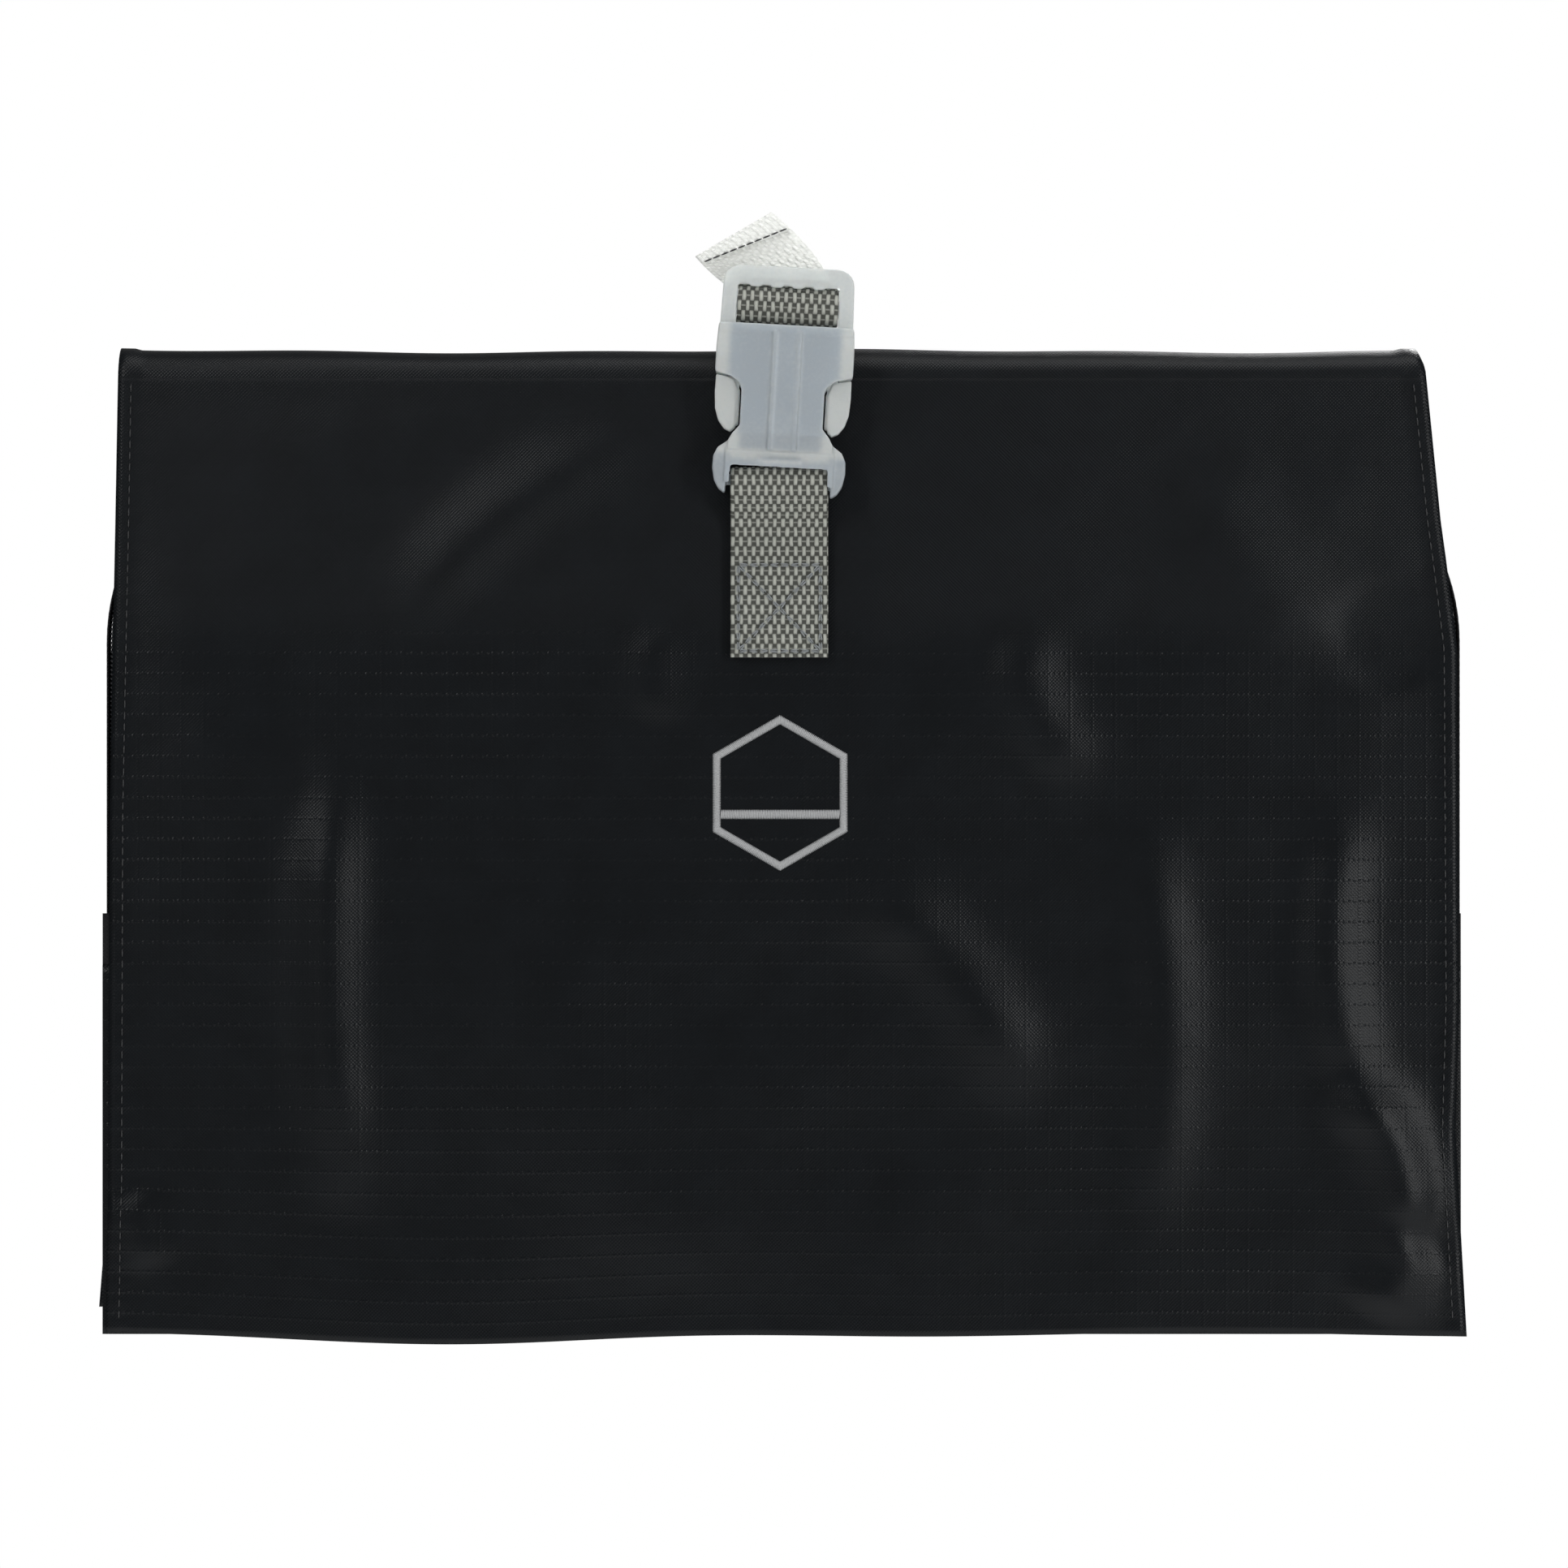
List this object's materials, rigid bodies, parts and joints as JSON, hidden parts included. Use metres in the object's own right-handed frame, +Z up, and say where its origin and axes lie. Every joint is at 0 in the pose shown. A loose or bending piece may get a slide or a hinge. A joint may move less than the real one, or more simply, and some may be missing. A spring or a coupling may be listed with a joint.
{
  "type": "film changing bag",
  "caption": "Flat light-tight fabric bag folded in half, with a zipped mouth, two inner sleeves and a webbing loop closed by a side-release buckle.",
  "frame": {"origin": "top of the opening inside the strap loop, midway across the webbing, on the line that a hook bears on", "axes": "+X to the right when facing the emblem, +Y away from the emblem face, +Z up as the bag hangs"},
  "size_m": [0.3503, 0.0287, 0.2886],
  "materials": {
    "nylon": "black ripstop nylon, slight sheen",
    "liner": "rubberised light-tight lining, matt black",
    "knit": "black elastic cuff",
    "webbing": "light grey woven webbing",
    "thread": "silver-grey embroidery and stitching thread",
    "clear_plastic": "natural frosted plastic",
    "zip": "black zip coil and tape",
    "zip_metal": "black enamelled zip slider"
  },
  "bodies": {
    "back_half": {"back_outer_panel": "nylon", "outer_fold": "nylon", "liner_back_wall": "liner", "liner_front_wall": "liner", "liner_zip_coil": "zip", "liner_zip_tape": "zip", "mouth_panel": "nylon", "mouth_gusset": "nylon", "mouth_zip_coil": "zip", "mouth_zip_tape": "zip", "mouth_zip_stop_left": "zip_metal", "mouth_zip_stop_right": "zip_metal", "side_seam_left": "nylon", "side_seam_right": "nylon", "bottom_seam": "nylon", "back_box_stitch": "thread", "strap_loop": "webbing"},
    "front_half": {"front_outer_panel": "nylon", "front_liner": "liner", "front_inner_panel": "nylon", "front_hem_left": "nylon", "front_hem_right": "nylon", "front_strap": "webbing", "front_box_stitch": "thread", "front_emblem": "thread", "buckle_socket": "clear_plastic"},
    "buckle_plug": {"buckle_plug": "clear_plastic", "strap_tail": "webbing"},
    "prong_left": {"buckle_prong_left": "clear_plastic"},
    "prong_right": {"buckle_prong_right": "clear_plastic"},
    "left_sleeve": {"sleeve_left": "nylon", "cuff_left": "knit"},
    "right_sleeve": {"sleeve_right": "nylon", "cuff_right": "knit"},
    "mouth_slider": {"mouth_zip_slider": "zip_metal"},
    "mouth_pull": {"mouth_zip_pull": "zip_metal"},
    "liner_slider": {"liner_zip_slider": "zip_metal"}
  },
  "joints": [
    {"name": "fold_hinge", "type": "hinge", "parent": "back_half", "child": "front_half", "pos_m": [0, 0.00005, -0.01495], "axis": [-1, 0, 0], "range_deg": [0, 179], "deforming": ["outer_fold", "strap_loop"]},
    {"name": "sleeve_left_fold", "type": "hinge", "parent": "front_half", "child": "left_sleeve", "pos_m": [0, -0.0041, -0.2607], "axis": [-1, 0, 0], "range_deg": [0, 179]},
    {"name": "sleeve_right_fold", "type": "hinge", "parent": "front_half", "child": "right_sleeve", "pos_m": [0, -0.0041, -0.2607], "axis": [-1, 0, 0], "range_deg": [0, 179]},
    {"name": "buckle_release", "type": "slide", "parent": "front_half", "child": "buckle_plug", "axis": [0.0558, 0, 0.9984], "range_m": [0, 0.03], "deforming": ["buckle_prong_left", "buckle_prong_right"]},
    {"name": "prong_left_squeeze", "type": "hinge", "parent": "buckle_plug", "child": "prong_left", "pos_m": [-0.01103, -0.0144, -0.00415], "axis": [0, -1, 0], "range_deg": [0, 6], "stiffness_Nm_per_rad": 0.2},
    {"name": "prong_right_squeeze", "type": "hinge", "parent": "buckle_plug", "child": "prong_right", "pos_m": [0.01333, -0.0144, -0.00551], "axis": [0, 1, 0], "range_deg": [0, 6], "stiffness_Nm_per_rad": 0.2},
    {"name": "mouth_zip_travel", "type": "slide", "parent": "back_half", "child": "mouth_slider", "axis": [1, 0, 0], "range_m": [-0.212, 0]},
    {"name": "mouth_pull_swing", "type": "hinge", "parent": "mouth_slider", "child": "mouth_pull", "pos_m": [0.106, -0.00275, -0.0305], "axis": [0, 1, 0], "range_deg": [-60, 60]},
    {"name": "liner_zip_travel", "type": "slide", "parent": "back_half", "child": "liner_slider", "axis": [1, 0, 0], "range_m": [-0.212, 0]}
  ],
  "couplings": [
    {"joint": "sleeve_left_fold", "follows": "fold_hinge", "ratio": 1},
    {"joint": "sleeve_right_fold", "follows": "fold_hinge", "ratio": 1},
    {"joint": "prong_right_squeeze", "follows": "prong_left_squeeze", "ratio": 1}
  ]
}
